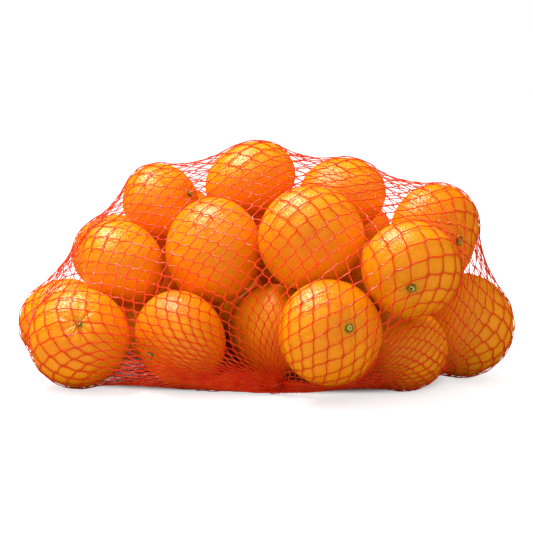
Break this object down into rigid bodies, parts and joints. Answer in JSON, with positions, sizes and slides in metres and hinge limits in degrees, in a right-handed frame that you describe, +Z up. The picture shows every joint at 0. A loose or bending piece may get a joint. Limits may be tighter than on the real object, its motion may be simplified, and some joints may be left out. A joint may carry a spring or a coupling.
{
  "type": "net bag of mandarins",
  "caption": "Taut red-orange net bag full of mandarins, lying on its side in a low domed heap, with its gathered end tucked under the front.",
  "frame": {"origin": "on the table, in the middle of the bag's outline", "axes": "+X along the bag's length, +Y from the side seen first to the far side, +Z up"},
  "size_m": [0.3001, 0.2182, 0.1399],
  "materials": {
    "net": "thin red-orange knitted plastic net, glossy",
    "peel": "waxed orange peel with fine pores",
    "stem_end": "dry yellow-green stem button"
  },
  "bodies": {
    "root": {"net_of_mandarins": "net"}
  },
  "joints": []
}
